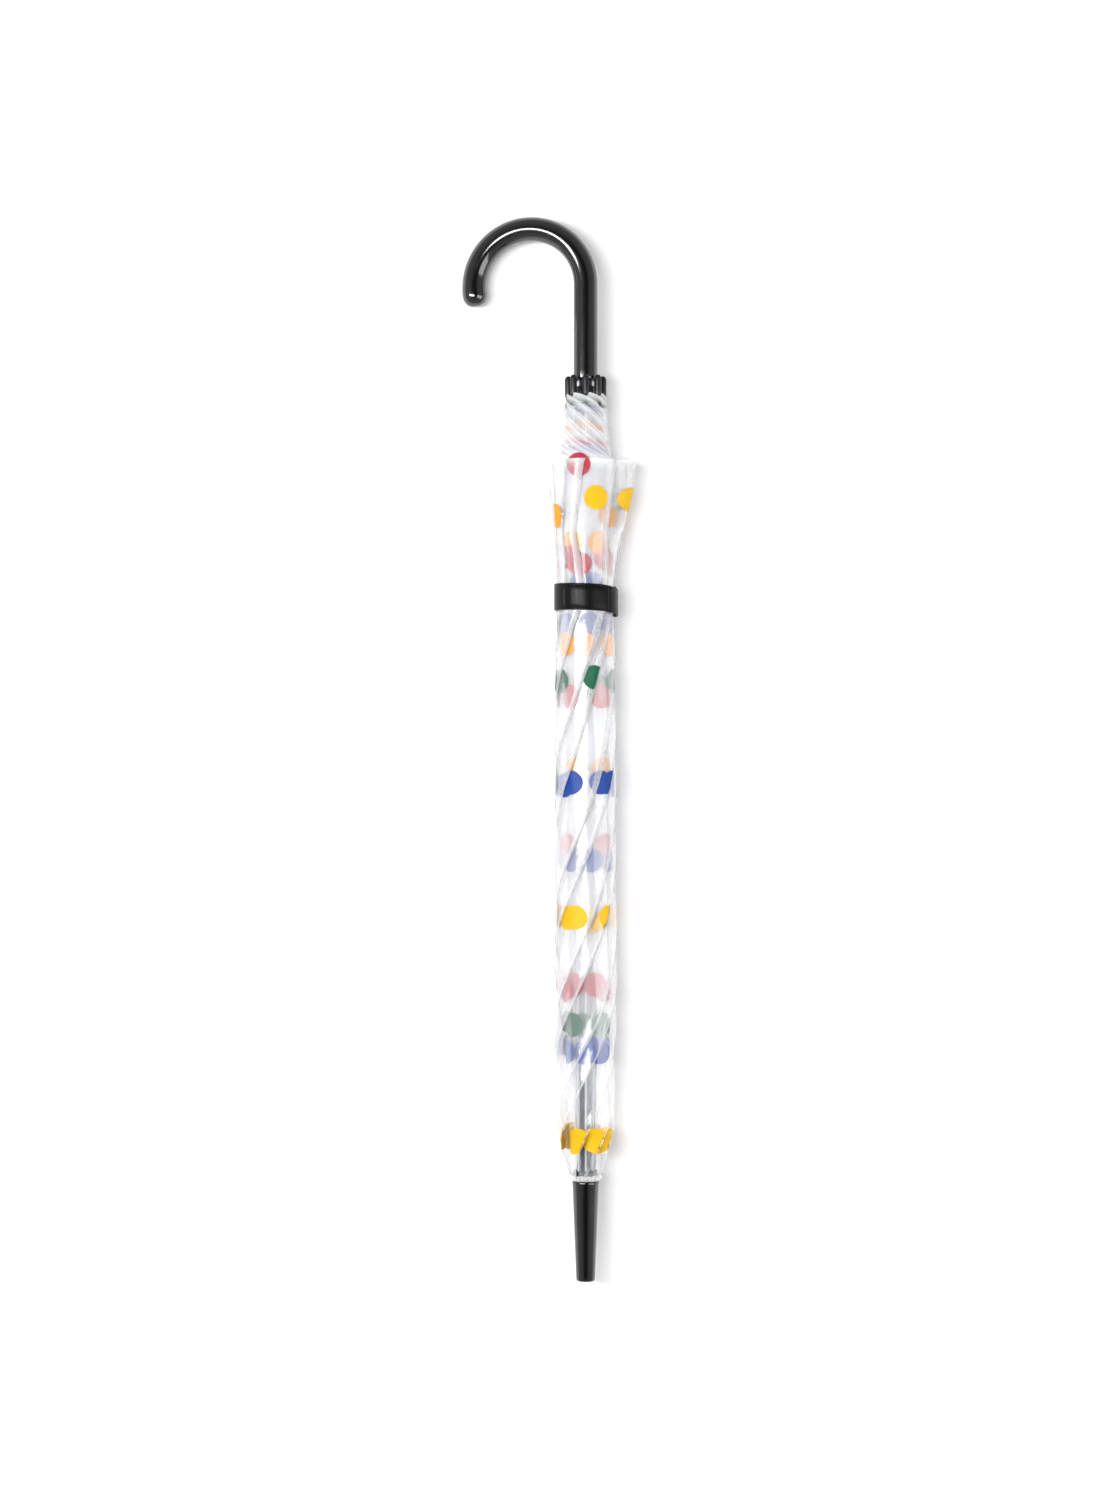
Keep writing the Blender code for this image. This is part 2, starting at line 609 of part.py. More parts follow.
def main():
    clear_scene()
    black = material("gloss_black_plastic", (0.012, 0.012, 0.014), 0.22)
    satin = material("satin_black_plastic", (0.015, 0.015, 0.016), 0.4)
    dark_steel = material("dark_coated_steel", (0.07, 0.09, 0.13), 0.35, metallic=0.6)
    steel = material("bright_steel", (0.6, 0.6, 0.62), 0.25, metallic=1.0)
    film = material("clear_printed_film", (0.92, 0.94, 0.96), 0.12, transmission=0.9)
    make_shaft(dark_steel)
    make_ferrule(satin)
    make_crown(satin, steel)
    make_runner(satin, steel)
    make_catch("closed_catch", CLOSED_CATCH_STATION, 1, steel)
    make_catch("open_catch", OPEN_CATCH_STATION, -1, steel)
    make_handle(black)
    make_ribs(steel, black)
    make_gores(film)
    make_pleats(film)
    make_strap(black, steel)


main()
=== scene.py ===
"""A clear dome umbrella, furled and strapped, lying on a white floor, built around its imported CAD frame."""

import json
import math

import bpy
import numpy as np
from mathutils import Matrix, Vector


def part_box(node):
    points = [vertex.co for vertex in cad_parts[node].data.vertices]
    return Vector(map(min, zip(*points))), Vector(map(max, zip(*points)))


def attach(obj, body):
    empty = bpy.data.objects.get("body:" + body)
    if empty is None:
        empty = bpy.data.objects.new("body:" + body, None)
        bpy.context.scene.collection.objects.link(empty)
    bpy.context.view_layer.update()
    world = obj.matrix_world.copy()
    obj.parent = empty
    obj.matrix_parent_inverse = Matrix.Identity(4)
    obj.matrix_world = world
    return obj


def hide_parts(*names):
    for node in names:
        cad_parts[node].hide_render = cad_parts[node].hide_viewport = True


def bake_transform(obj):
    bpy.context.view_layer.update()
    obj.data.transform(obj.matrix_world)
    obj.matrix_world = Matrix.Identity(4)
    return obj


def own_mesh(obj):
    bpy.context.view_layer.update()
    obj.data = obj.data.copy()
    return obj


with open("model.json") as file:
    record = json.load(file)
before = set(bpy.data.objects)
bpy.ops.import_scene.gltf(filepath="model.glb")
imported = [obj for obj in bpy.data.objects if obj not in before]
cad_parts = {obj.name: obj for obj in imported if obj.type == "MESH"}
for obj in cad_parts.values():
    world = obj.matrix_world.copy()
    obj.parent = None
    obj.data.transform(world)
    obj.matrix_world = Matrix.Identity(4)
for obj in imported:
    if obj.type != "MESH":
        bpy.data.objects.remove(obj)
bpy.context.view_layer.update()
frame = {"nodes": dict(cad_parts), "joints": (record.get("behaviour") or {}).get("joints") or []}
NODES = frame["nodes"]
TAU = 2 * math.pi
RIBS = 8

# The shaft's line, from the frame. A station is a distance from the ferrule's top edge along the shaft,
# towards the handle.
JOINTS = {j["name"]: j for j in frame["joints"]}
low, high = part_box("shaft_tube")
AX, AZ = (low.x + high.x) / 2, (low.z + high.z) / 2
PIVOT_R, PIVOT_T = 0.007, 0.005
AY = JOINTS["rib_1_swing"]["pos_m"][1] - PIVOT_T

# How far the ribs and the two rings of open canopy have swung when the dome is open, in degrees.
RIB_SWING = 68.4296
INNER_SWING = 69.2
OUTER_SWING = 27.6

# The open canopy is a dome on arc ribs: R is the ribs' arc and FILM_R the film just outside it.
SEGMENT = 0.2975
HALF_ARC = math.radians(41.6)
R = 0.418888
FILM_R = R + 0.0015


def place(radius, azimuth, station):
    """A point round the shaft, in the row frame."""
    return (AX + radius * math.cos(azimuth), AY + station, AZ + radius * math.sin(azimuth))


def smooth(a, b, x):
    x = min(1.0, max(0.0, (x - a) / (b - a)))
    return x * x * (3 - 2 * x)


def curve(knots, x):
    """A smooth line through (x, value) knots."""
    for (x0, v0), (x1, v1) in zip(knots, knots[1:]):
        if x <= x1:
            return v0 + (v1 - v0) * smooth(x0, x1, x)
    return knots[-1][1]


def mesh_object(name, points, faces, uvs=None, smooth_faces=True):
    mesh = bpy.data.meshes.new(name)
    mesh.from_pydata([tuple(p) for p in points], [], faces)
    mesh.update()
    if smooth_faces:
        mesh.polygons.foreach_set("use_smooth", [True] * len(mesh.polygons))
    if uvs is not None:
        layer = mesh.uv_layers.new(name="UVMap")
        corners = np.zeros(len(mesh.loops), np.int32)
        mesh.loops.foreach_get("vertex_index", corners)
        layer.data.foreach_set("uv", np.array(uvs, np.float32)[corners].ravel())
    ob = bpy.data.objects.new(name, mesh)
    bpy.context.scene.collection.objects.link(ob)
    return ob


def grid_faces(rows, columns, closed=False, start=0):
    faces = []
    for i in range(rows - 1):
        for j in range(columns if closed else columns - 1):
            k = (j + 1) % columns
            a, b = start + i * columns + j, start + i * columns + k
            faces.append((a, b, b + columns, a + columns))
    return faces


def add_attribute(ob, name, values):
    ob.data.attributes.new(name, "FLOAT", "POINT").data.foreach_set("value", np.array(values, np.float32))


# ---------------------------------------------------------------- materials


class Nodes:
    """A short way to write a node tree."""

    def __init__(self, name):
        self.material = bpy.data.materials.new(name)
        self.material.use_nodes = True
        self.tree = self.material.node_tree
        self.tree.nodes.clear()

    def add(self, kind, _inputs=None, **settings):
        node = self.tree.nodes.new(kind)
        for key, value in settings.items():
            setattr(node, key, value)
        for key, value in (_inputs or {}).items():
            if isinstance(value, bpy.types.NodeSocket):
                self.tree.links.new(value, node.inputs[key])
            else:
                node.inputs[key].default_value = value
        return node

    def math(self, operation, a, b=0.0, clamp=False):
        node = self.add("ShaderNodeMath", {0: a, 1: b}, operation=operation)
        node.use_clamp = clamp
        return node.outputs[0]

    def range(self, value, low_in, high_in, low_out, high_out):
        inputs = {"Value": value, "From Min": low_in, "From Max": high_in}
        inputs |= {"To Min": low_out, "To Max": high_out}
        return self.add("ShaderNodeMapRange", inputs).outputs["Result"]

    def noise(self, scale, detail=3.0, stretch=(1, 1, 1), roughness=0.55):
        coordinates = self.add("ShaderNodeTexCoord").outputs["Object"]
        mapped = self.add("ShaderNodeMapping", {"Vector": coordinates, "Scale": stretch}).outputs[0]
        inputs = {"Vector": mapped, "Scale": scale, "Detail": detail, "Roughness": roughness}
        return self.add("ShaderNodeTexNoise", inputs).outputs["Fac"]

    def bump(self, height, strength, distance):
        inputs = {"Height": height, "Strength": strength, "Distance": distance}
        return self.add("ShaderNodeBump", inputs).outputs[0]

    def mix_colour(self, fac, a, b):
        node = self.add("ShaderNodeMix", data_type="RGBA")
        for key, value in ((0, fac), (6, a), (7, b)):
            if isinstance(value, bpy.types.NodeSocket):
                self.tree.links.new(value, node.inputs[key])
            else:
                node.inputs[key].default_value = value
        return node.outputs[2]

    def finish(self, shader):
        out = self.add("ShaderNodeOutputMaterial")
        self.tree.links.new(shader.outputs[0], out.inputs["Surface"])
        return self.material


def plastic(name, colour, dusty, rough, wave, scale, coat=0.0, specular=0.4):
    """Moulded plastic: slight flow waves, fine scratches in the gloss and a little dust in the colour."""
    n = Nodes(name)
    grain = n.noise(scale, 4.0, (1, 0.25, 1))
    scratch = n.noise(900, 2.0, (1, 0.04, 1))
    colour_out = n.mix_colour(n.range(grain, 0.35, 0.75, 0, 1), (*colour, 1), (*dusty, 1))
    roughness = n.range(scratch, 0.3, 0.75, rough * 0.8, rough * 1.35)
    normal = n.bump(n.math("ADD", n.noise(60, 2.0), n.math("MULTIPLY", scratch, 0.04)), wave, 0.0006)
    inputs = {"Base Color": colour_out, "Roughness": roughness, "Normal": normal, "Coat Weight": coat}
    inputs |= {"Coat Roughness": 0.05, "IOR": 1.5, "Specular IOR Level": specular}
    return n.finish(n.add("ShaderNodeBsdfPrincipled", inputs))


def metal(name, colour, worn, rough, metallic, along_scale=350):
    """Drawn wire or tube: lines along its length, and a colour that wears a little."""
    n = Nodes(name)
    drawn = n.noise(along_scale, 4.0, (1, 0.03, 1))
    patches = n.noise(25, 3.0)
    colour_out = n.mix_colour(n.range(patches, 0.4, 0.7, 0, 1), (*colour, 1), (*worn, 1))
    roughness = n.range(drawn, 0.3, 0.7, rough * 0.75, rough * 1.3)
    normal = n.bump(drawn, 0.25, 0.0003)
    inputs = {"Base Color": colour_out, "Roughness": roughness, "Normal": normal, "Metallic": metallic}
    return n.finish(n.add("ShaderNodeBsdfPrincipled", inputs))


def film(name, haze, tint=(0.975, 0.98, 0.99), crinkle=0.5):
    """Clear film: it lets most light through, with a milky haze and a gloss. The haze is thicker in creases,
    partly the real whitening of creased film and partly a painted highlight for the bright lines where folds
    catch the light.
    """
    n = Nodes(name)
    crease_haze_and_highlight = n.add("ShaderNodeAttribute", attribute_name="crease_haze_and_highlight").outputs["Fac"]
    folds = n.noise(70, 3.0, (1, 0.22, 1))
    fine = n.noise(240, 3.0, (1, 0.5, 1))
    streak = n.math("MULTIPLY", n.range(folds, 0.52, 0.72, 0, 1), n.range(fine, 0.4, 0.7, 0.2, 1))
    # Painted highlight: the crease weight and the fold-noise streaks thicken the milky haze where the folds
    # catch the light, on top of the real whitening of creased film.
    cover = n.math("MULTIPLY_ADD", crease_haze_and_highlight, 0.55)
    cover.node.inputs[2].default_value = haze
    cover = n.math("ADD", cover, n.math("MULTIPLY", streak, haze * 1.5), clamp=True)
    height = n.math("ADD", n.math("MULTIPLY", folds, 1.0), n.math("MULTIPLY", fine, 0.25))
    normal = n.bump(height, crinkle, 0.0012)
    clear = n.add("ShaderNodeBsdfTransparent", {"Color": (0.999, 0.999, 1.0, 1)})
    milky = n.add("ShaderNodeBsdfDiffuse", {"Color": (*tint, 1), "Normal": normal})
    through = n.add("ShaderNodeBsdfTranslucent", {"Color": (*tint, 1), "Normal": normal})
    body = n.add("ShaderNodeMixShader", {0: 0.45, 1: milky.outputs[0], 2: through.outputs[0]})
    seen = n.add("ShaderNodeMixShader", {0: cover, 1: clear.outputs[0], 2: body.outputs[0]})
    gloss = n.add("ShaderNodeBsdfGlossy", {"Color": (1, 1, 1, 1), "Roughness": 0.12, "Normal": normal})
    fresnel = n.add("ShaderNodeFresnel", {"IOR": 1.45, "Normal": normal}).outputs[0]
    outer = n.add("ShaderNodeAttribute", attribute_name="outer").outputs["Fac"]
    share = n.math("MINIMUM", n.math("MULTIPLY", fresnel, outer), 0.3)
    return n.finish(n.add("ShaderNodeMixShader", {0: share, 1: seen.outputs[0], 2: gloss.outputs[0]}))


def ink(name, colour, paler, alpha=0.97):
    """Printed ink on the film: nearly solid, with slightly uneven cover and a soft gloss."""
    n = Nodes(name)
    patchy = n.noise(160, 3.0)
    colour_out = n.mix_colour(n.range(patchy, 0.35, 0.75, 0, 0.5), (*colour, 1), (*paler, 1))
    inputs = {"Base Color": colour_out, "Roughness": n.range(patchy, 0.3, 0.7, 0.35, 0.5), "Alpha": alpha}
    inputs |= {"Specular IOR Level": 0.15}
    return n.finish(n.add("ShaderNodeBsdfPrincipled", inputs))


JET, JET_DUSTY = (0.002, 0.002, 0.0025), (0.004, 0.004, 0.0045)
BLACK, BLACK_DUSTY = (0.003, 0.003, 0.0035), (0.006, 0.006, 0.007)
GLOSS_BLACK = plastic("gloss_black", JET, JET_DUSTY, 0.13, 0.10, 22, coat=0.25, specular=0.75)
SATIN_BLACK = plastic("satin_black", BLACK, BLACK_DUSTY, 0.34, 0.2, 60)
VINYL = plastic("vinyl_black", BLACK, BLACK_DUSTY, 0.30, 0.45, 45, specular=0.10)
SHAFT_STEEL = metal("shaft_coat", (0.035, 0.045, 0.068), (0.06, 0.07, 0.09), 0.3, 0.6)
RIB_STEEL = metal("rib_coat", (0.55, 0.57, 0.6), (0.66, 0.67, 0.7), 0.32, 0.7)
BRIGHT = metal("bright_wire", (0.6, 0.6, 0.62), (0.5, 0.5, 0.52), 0.2, 1.0)
SNAP_METAL = metal("snap_plate", (0.55, 0.55, 0.57), (0.42, 0.42, 0.44), 0.22, 1.0, 120)
FILM = film("clear_film", 0.11, crinkle=0.35)
HEM_FILM = film("clear_film_hem", 0.32, crinkle=0.7)
DOME_FILM = film("clear_film_open", 0.075, crinkle=0.2)
INKS = {
    "yellow": ink("ink_yellow", (0.66, 0.37, 0.003), (0.70, 0.43, 0.01)),
    "amber": ink("ink_amber", (0.66, 0.25, 0.003), (0.70, 0.32, 0.01)),
    "green": ink("ink_green", (0.004, 0.085, 0.042), (0.015, 0.12, 0.065)),
    "blue": ink("ink_blue", (0.010, 0.045, 0.24), (0.02, 0.075, 0.29)),
    "red": ink("ink_red", (0.36, 0.022, 0.045), (0.42, 0.05, 0.07)),
}


WASHES = {
    "yellow": ink("wash_amber", (0.66, 0.25, 0.003), (0.70, 0.32, 0.01), 0.32),
    "green": ink("wash_green", (0.004, 0.085, 0.042), (0.015, 0.12, 0.065), 0.4),
    "blue": ink("wash_blue", (0.010, 0.045, 0.24), (0.02, 0.075, 0.29), 0.36),
    "red": ink("wash_red", (0.36, 0.022, 0.045), (0.42, 0.05, 0.07), 0.32),
}


def paint(ob, *materials):
    ob.data.materials.clear()
    for m in materials:
        ob.data.materials.append(m)
    return ob


def keep_node(name, material):
    """A CAD node stays as it is, with a better finish."""
    ob = NODES[name]
    for s in ob.material_slots:
        s.material = material
    if not ob.material_slots:
        ob.data.materials.append(material)


def set_blend(ob, weights):
    """Turns the weights for each point into an array, and sets no blend."""
    np.array(weights, np.float32)


# ---------------------------------------------------------------- folded film

BUNDLE = [  # station and outer radius of the folded film
    (0.0, 0.0112), (0.005, 0.0128), (0.012, 0.0160), (0.024, 0.0196), (0.045, 0.0219), (0.09, 0.0232),
    (0.16, 0.0238), (0.30, 0.0236), (0.38, 0.0234), (0.425, 0.0226), (0.436, 0.0221), (0.460, 0.0221),
    (0.472, 0.0226), (0.50, 0.0238), (0.545, 0.0240), (0.62, 0.0236),
]  # fmt: skip
# Station and radius of the neck, where only the film's deepest folds go on to the tips of the ribs.
NECK = [(0.54, 0.0240), (0.553, 0.0222), (0.566, 0.0186), (0.582, 0.0172), (0.597, 0.0178), (0.612, 0.0196)]
# The hem's stations, at the middle of a gore and at a rib.
HEM_TIP, HEM_RIB = 0.5535, 0.605
FIN_STATIONS = 132


def rib_radius(t):
    """Where the film lies on the folded ribs."""
    if t < 0.302:
        return 0.0083 + 0.0040 * max(0.0, t - 0.005) / 0.297
    return 0.0123 + 0.0021 * (t - 0.302) / 0.297


def gore_half(s):
    """Half the width of one gore at a distance s from the crown."""
    return math.pi * (PIVOT_R + FILM_R * math.sin(min(s, 0.62) / FILM_R)) / RIBS


def ripple(n, theta, t):
    """Small waves in the film, different in each fin."""
    a = math.sin(theta * 5.1 + t * 61 + n * 2.3) * 0.5 + math.sin(theta * 9.7 - t * 97 + n * 1.1) * 0.3
    b = math.sin(theta * 2.3 + t * 23 + n * 4.1) + 0.4 * math.sin(theta * 15.1 + t * 171 + n)
    return 0.00042 * a + 0.00025 * b


GAP_IN = 0.0005  # from the outer sheet of a fin to its return sheet
LAYER_STEP = TAU / RIBS
FLOOR_DEPTH = 0.0241  # the floor's depth below the shaft's line, which no fold goes past


def wrap_radius(t, theta, full):
    """Radius of a fin's outer layer after winding by theta, out of full."""
    inner, outer = rib_radius(t), curve(BUNDLE, t)
    inner = min(inner, outer - 0.001)
    share = min(1.0, max(0.0, theta / max(full, 1e-6)))
    return inner + (outer - inner) * share**0.85


def full_wrap(t):
    """How far a fin winds at this station, from the width of its gore."""
    width = gore_half(t)
    inner, outer = rib_radius(t), curve(BUNDLE, t)
    inner = min(inner, outer - 0.001)
    mean = inner + (outer - inner) * 0.54
    return (width + mean * LAYER_STEP * 0.5) / mean


WRAPS = [full_wrap(0.64 * k / 640) for k in range(641)]


def wrap_at(t):
    x = min(639.999, max(0.0, t / 0.001))
    k = int(x)
    return WRAPS[k] + (WRAPS[k + 1] - WRAPS[k]) * (x - k)


# Fin n leaves rib n and winds clockwise, seen from the handle's end of +Y.
def rib_azimuth(n):
    return TAU * n / RIBS


def wander(n, t):
    """How far a fold strays round the bundle, so that no two run alike."""
    return 0.16 * math.sin(t * 13 + 2.1 * n) + 0.07 * math.sin(t * 37 + 4.7 * n) * smooth(0, 0.1, t)


def fin_point(n, theta, t, inner_layer=0.0, lift=0.0):
    """A point of fin n: theta is how far it has wound, and inner_layer 1 is the sheet's return side."""
    full = wrap_at(t)
    radius = wrap_radius(t, theta, full) - GAP_IN * inner_layer * smooth(0, 0.5, full - theta)
    calm = smooth(0.0, 0.03, t)
    radius += ripple(n, theta, t) * calm
    edge = smooth(full - 0.35, full, theta)
    radius += 0.0004 * edge * calm
    azimuth = rib_azimuth(n) - theta - wander(n, t) * (theta / full) ** 2
    radius += flare(azimuth, t, theta, full) + lift
    if t > 0.54:
        wrinkle = math.sin(t * TAU / 0.0062 + 1.9 * math.sin(rib_azimuth(n) - theta) + 0.7 * n)
        neck = curve(NECK, t) * (0.80 + 0.20 * min(1.0, theta / 3.0)) + 0.00045 * wrinkle
        radius = min(radius, neck) if t > HEM_TIP else radius
    depth = radius * math.sin(azimuth)
    if depth < -FLOOR_DEPTH:
        radius *= FLOOR_DEPTH / -depth
    return place(radius, azimuth, t)


FLARES = [  # azimuth, half width, height, station where it starts and where it is full
    (0.05, 0.46, 0.0150, 0.456, 0.556),
    (math.radians(176), 0.32, 0.0070, 0.490, 0.556),
]


def flare(azimuth, t, theta, full):
    """Loose corners of the hem stand away from the bundle."""
    out = 0.0
    for centre, spread, height, start, end in FLARES:
        off = (azimuth - centre + math.pi) % TAU - math.pi
        near = math.exp(-((off / spread) ** 2))
        level = smooth(0, 1, (t - start) / (end - start)) if t > start else 0.0
        outer = smooth(full - 1.4, full - 0.2, theta)
        out += height * near * level * outer
    return out


def hem_station(u):
    """The hem's station at a share u, from 0 at a rib to 1 at the middle of the gore."""
    return HEM_RIB + (HEM_TIP - HEM_RIB) * smooth(0.0, 0.62, u)


def fin_sheet(n):
    """One gore, folded double down its middle and wound round the ribs."""
    half = 30
    shares = [k / half for k in range(half + 1)]
    profile = [(u, 0.0) for u in shares[:-1]] + [(1.0, 0.5)] + [(u, 1.0) for u in reversed(shares[:-1])]
    points, crease_haze_and_highlight, outer, uvs = [], [], [], []
    for i in range(FIN_STATIONS + 1):
        v = i / FIN_STATIONS
        for u, side in profile:
            t_end = hem_station(u)
            t = 0.0012 + (t_end - 0.0012) * v
            full = wrap_at(t)
            start = LAYER_STEP * side if side == 1.0 else 0.0
            start = min(start, full * 0.8)
            theta = start + (full - start) * u
            fold = math.exp(-((1 - u) / 0.018) ** 2)
            points.append(fin_point(n, theta, t, side, lift=0.0))
            near_hem = math.exp(-((t_end - t) / 0.0035) ** 2)
            rib_edge = math.exp(-(u / 0.03) ** 2)
            crinkled = 0.5 * math.exp(-(t / 0.008) ** 2)
            clearer = 0.13 * (1 - smooth(0.03, 0.17, t))
            # Crease weight for each point: more milky haze at the middle fold, the hem, the rib edge and the
            # crinkled crown. This is partly real whitening of the creased film and partly a painted highlight
            # where these folds catch the light. It is less near the ferrule, so the ribs show through.
            crease_haze_and_highlight.append(min(1.0, 0.75 * fold + 0.9 * near_hem + 0.25 * rib_edge + crinkled) - clearer)
            outer.append(0.06 + 0.94 * smooth(full - 1.3, full - 0.7, theta) * (1 - 0.8 * side))
            width = gore_half(t)
            uvs.append((0.5 + (width * (1 - u) * (1 if side else -1)) / 0.4, t / 0.62))
    ob = mesh_object(f"canopy_film_{n + 1}", points, grid_faces(FIN_STATIONS + 1, len(profile)), uvs)
    add_attribute(ob, "crease_haze_and_highlight", crease_haze_and_highlight)
    add_attribute(ob, "outer", outer)
    return paint(ob, FILM)


def fold_away(ob):
    """The piece rides on the shaft's body, with a mesh of its own."""
    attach(ob, "shaft")
    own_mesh(ob)


for n in range(RIBS):
    sheet_piece = fin_sheet(n)
    fold_away(sheet_piece)
    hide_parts(f"canopy_gore_{n + 1}")


# ---------------------------------------------------------------- printed dots

DOT = 0.00925  # radius of a printed dot


def dot_disc(surface, radius=DOT, rings=4, sides=26):
    """A round patch on a surface given by surface(across, along). Returns points and faces."""
    points = [surface(0.0, 0.0)]
    faces = []
    for r in range(1, rings + 1):
        for k in range(sides):
            a = TAU * k / sides
            points.append(surface(radius * r / rings * math.cos(a), radius * r / rings * math.sin(a)))
    for k in range(sides):
        faces.append((0, 1 + k, 1 + (k + 1) % sides))
    for r in range(rings - 1):
        for k in range(sides):
            a, b = 1 + r * sides + k, 1 + r * sides + (k + 1) % sides
            faces.append((a, a + sides, b + sides, b))
    return points, faces


class Patches:
    """Collects patches of each ink into one piece per name."""

    def __init__(self):
        self.made = {}

    def add(self, name, points, faces, extra=None):
        kept = self.made.setdefault(name, ([], [], []))
        start = len(kept[0])
        kept[0].extend(points)
        kept[1].extend(tuple(start + v for v in f) for f in faces)
        kept[2].extend(extra or [])


def folded_dot(n, theta, t, lift=0.00012, inner=0.0):
    """A dot on fin n, centred where it has wound by theta."""
    radius = wrap_radius(t, theta, wrap_at(t))

    def surface(across, along):
        station = t + along
        full = wrap_at(station)
        turned = theta + across / radius
        if turned <= full:
            return fin_point(n, turned, station, inner, lift)
        return fin_point(n, max(0.1, 2 * full - turned), station, 1.0, -0.0001)

    return dot_disc(surface)


def outer_dot(x, t, back=False):
    """The fin whose outermost layer shows at x across the view, and how far it has wound there.
    back takes the far side of the bundle."""
    reach = curve(BUNDLE, t)
    azimuth = math.acos(max(-0.999, min(0.999, x / reach)))
    if back:
        azimuth = -azimuth
    full = wrap_at(t)
    best = None
    for n in range(RIBS):
        theta = (rib_azimuth(n) - azimuth) % TAU
        while theta + TAU <= full:
            theta += TAU
        if theta <= full and (best is None or full - theta < best[2]):
            best = (n, theta, full - theta)
    if best is None:
        return 0, full * 0.9
    n, theta, _ = best
    return n, theta - wander(n, t) * (theta / full) ** 2


MM = 0.001
STRONG = [  # ink, station, places across the view, from the shaft's line to the right, all in mm
    ("yellow", 523.6, (8.1, 24.0)),
    ("amber", 511.0, (-23.0,)),
    ("green", 386.5, (6.5,)),
    ("blue", 306.5, (11.5, 20.0, -12.0)),
    ("yellow", 203.5, (-8.5, 17.5)),
    ("yellow", 33.0, (-18.0, -6.0, 7.0, 17.0)),
]
DEEPER = [  # ink, station, places across the view, layers of film over it
    ("amber", 510, (-20, 21), 1), ("amber", 489, (-16, 14), 2), ("red", 549, (-11,), 1),
    ("red", 478, (-16, 16), 1), ("red", 473, (-8, 21), 2), ("blue", 458, (5, -6), 3),
    ("blue", 427, (-17, 4, 19), 3),
    ("amber", 412, (-14, 3, 15), 2), ("green", 384, (-17, 21), 1), ("red", 372, (-11, 14, 22), 2),
    ("green", 379, (-2, 12), 3), ("amber", 317, (14, -10), 2), ("blue", 304, (-21, 23), 1),
    ("red", 258, (-15, 17), 3), ("blue", 247, (-14, 5, 19), 2), ("yellow", 203, (-20, 24), 1),
    ("yellow", 200, (3,), 2), ("red", 152, (-14, 14), 2), ("red", 147, (-20, 19), 2),
    ("green", 121, (-15, 3, 16), 2),
    ("blue", 100, (-17, -2, 13), 2), ("blue", 103, (6, 20), 2), ("yellow", 31, (-12, 12), 1),
]  # fmt: skip

dots = Patches()
for colour, station, places in STRONG:
    for x in places:
        for back in (False, True):
            shifted = x if not back else -x * 0.8 + 3
            n, theta = outer_dot(shifted * MM, station * MM, back)
            dots.add(f"dots_{colour}", *folded_dot(n, theta, station * MM))
for colour, station, places, depth in DEEPER:
    for x in places:
        for back in (False, True):
            shifted = x if not back else -x * 0.9 - 2
            n, theta = outer_dot(shifted * MM, station * MM, back)
            full = wrap_at(station * MM)
            steps = min(depth, int((full - 0.5) / LAYER_STEP) - 1)
            n = (n - steps) % RIBS
            theta = max(0.3, theta - steps * LAYER_STEP)
            dots.add(f"dots_{colour}_under", *folded_dot(n, theta, station * MM, 0.0001))

SMEARS = [  # ink, station in mm, places round the neck in degrees, how far it has wound
    ("green", 597, (150, 95, 40, 300, 230), 0.75), ("blue", 591, (120, 60, 20, 260, 200), 0.9),
    ("yellow", 579, (110, 65, 25, 285, 190), 1.6), ("red", 567, (140, 85, 45, 315, 240), 2.4),
    ("blue", 561, (100, 55, 10, 275, 210), 2.8),
]  # fmt: skip


def smear(azimuth, theta, t, wide=2.1, tall=0.22):
    """A dot crumpled into the gathers of the neck."""
    n = round((azimuth + theta) / LAYER_STEP) % RIBS
    radius = curve(NECK, t)

    def surface(across, along):
        lean = 0.16 * across * wide
        return fin_point(n, theta + across * wide / radius, t + along * tall - lean, 0.0, 0.0001)

    return dot_disc(surface)


for colour, station, places, theta in SMEARS:
    for degrees in places:
        dots.add(f"wash_{colour}", *smear(math.radians(degrees), theta, station * MM))
for name, (points, faces, _) in dots.made.items():
    ob = mesh_object(name, points, faces)
    paint(ob, (WASHES if name.startswith("wash") else INKS)[name.split("_")[1]])
    fold_away(ob)


# ---------------------------------------------------------------- open canopy, folded small inside the bundle

SHARED_WIDTH = 0.008
PIVOTS = {  # bodies that swing and spread it, the swing's joint and angle, and its arc from the crown
    half: (f"canopy_swing_{half}", f"canopy_spread_{half}", JOINTS[f"canopy_{half}_swing"], angle, start, end)
    for half, angle, start, end in (
        ("inner", INNER_SWING, 0.0, HALF_ARC),
        ("outer", OUTER_SWING, HALF_ARC, 2 * HALF_ARC),
    )
}
PLEATS = {"inner": ("canopy_pleat_1", "canopy_pleat_2"), "outer": ("canopy_pleat_3", "canopy_pleat_4")}


def dome_profile(phi, sag=0.0):
    return PIVOT_R + (FILM_R - sag) * math.sin(phi), PIVOT_T + R - (FILM_R - sag) * math.cos(phi)


def unswing(point, half):
    """Where a point of the open canopy lies before the canopy's swing."""
    joint, degrees = PIVOTS[half][2], PIVOTS[half][3]
    turn = Matrix.Rotation(-math.radians(degrees), 4, Vector(joint["axis"]))
    pivot = Vector(joint["pos_m"])
    return turn @ (Vector(point) - pivot) + pivot


def dome_point(half, delta, phi, lift=0.0):
    """(rest point, weight) for a place on the open canopy, delta round from its first meridian."""
    rib = abs(math.sin((delta - math.pi / 2) * RIBS / 2))
    sag = 0.006 * rib**0.8 * math.sin(phi * 0.95) ** 1.2
    radius, station = dome_profile(phi, sag - lift)
    folded = delta * (SHARED_WIDTH / max(radius, 0.004)) / math.pi
    folded = max(-abs(delta), min(abs(delta), folded))
    first = -math.pi / 2
    rest = unswing(place(radius, first + folded, station), half)
    return rest, -(delta - folded) / (math.pi / 2)


